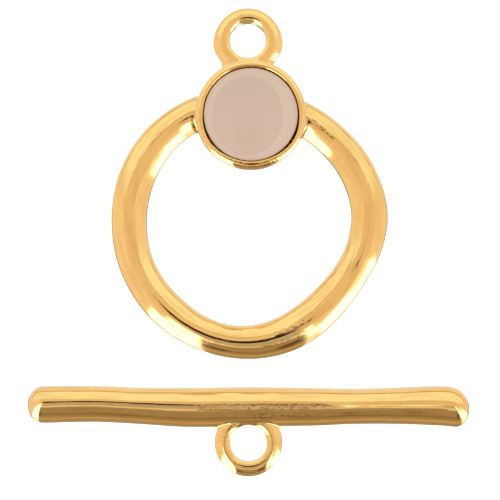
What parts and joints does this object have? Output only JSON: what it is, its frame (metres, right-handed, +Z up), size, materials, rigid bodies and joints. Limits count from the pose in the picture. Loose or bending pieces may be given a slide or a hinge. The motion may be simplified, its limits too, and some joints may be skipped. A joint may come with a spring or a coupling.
{
  "type": "toggle clasp",
  "caption": "Gilt toggle clasp lying open: a hand-worked hoop with a flat-backed cup, domed taupe stone and eye, and the separate bar with its own eye.",
  "frame": {"origin": "centre of the laid-out clasp's outline on the surface that it lies on", "axes": "+Z up from the surface, +X along the bar, +Y from the bar towards the hoop and its stone"},
  "size_m": [0.0328, 0.0354, 0.0035],
  "materials": {
    "gilt_ring": "polished gold plating on a cast ring half",
    "stone": "glossy opaque taupe-pink cabochon",
    "gilt_bar": "polished gold plating on a cast bar half, fine grain along its middle"
  },
  "bodies": {
    "root": {"clasp_ring": "gilt_ring", "cabochon": "stone", "toggle_bar": "gilt_bar"}
  },
  "joints": []
}
